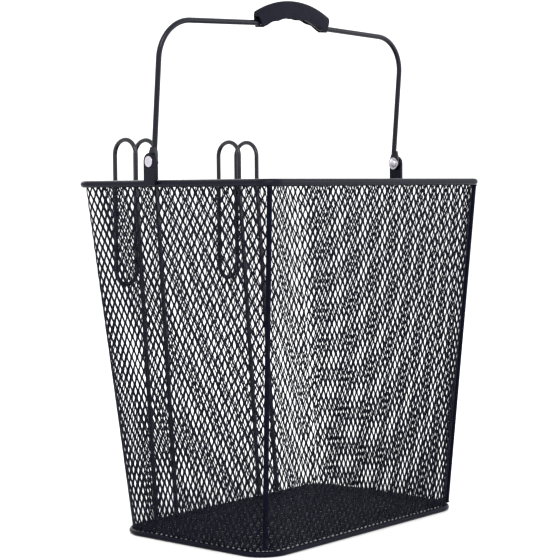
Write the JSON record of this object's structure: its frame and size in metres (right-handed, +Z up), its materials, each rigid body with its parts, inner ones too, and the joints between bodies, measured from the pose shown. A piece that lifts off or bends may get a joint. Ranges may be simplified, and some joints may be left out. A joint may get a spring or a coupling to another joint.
{
  "type": "handlebar basket",
  "caption": "Tall tapered bicycle basket of expanded steel mesh on a wire frame, with bent-wire hooks to hang it by and a swinging wire bail with a plastic grip.",
  "frame": {"origin": "middle of the whole basket's footprint, hooks included, on the surface it stands on", "axes": "+Z up, +X along the wide side, +Y towards the hooks, which is the bicycle's side"},
  "size_m": [0.357, 0.2858, 0.5354],
  "materials": {
    "black_wire": "satin",
    "expanded_mesh": "satin",
    "zinc_steel": "satin",
    "grip_plastic": "matte"
  },
  "bodies": {
    "basket": {"top_rim": "black_wire", "bottom_ring": "black_wire", "front_post_left": "black_wire", "front_post_right": "black_wire", "mesh_front": "expanded_mesh", "mesh_right": "expanded_mesh", "mesh_back": "expanded_mesh", "mesh_left": "expanded_mesh", "mesh_floor": "expanded_mesh", "hook_left": "black_wire", "hook_right": "black_wire", "bracket_left": "black_wire", "bracket_right": "black_wire", "rivet_left": "zinc_steel", "rivet_right": "zinc_steel", "washer_left": "zinc_steel", "washer_right": "zinc_steel"},
    "bail": {"bail_wire": "black_wire", "grip": "grip_plastic"}
  },
  "joints": [
    {"name": "bail_swing", "type": "hinge", "parent": "basket", "child": "bail", "pos_m": [0, -0.00893, 0.371], "axis": [0.9954, -0.0959, 0], "range_deg": [-78, 87]}
  ]
}
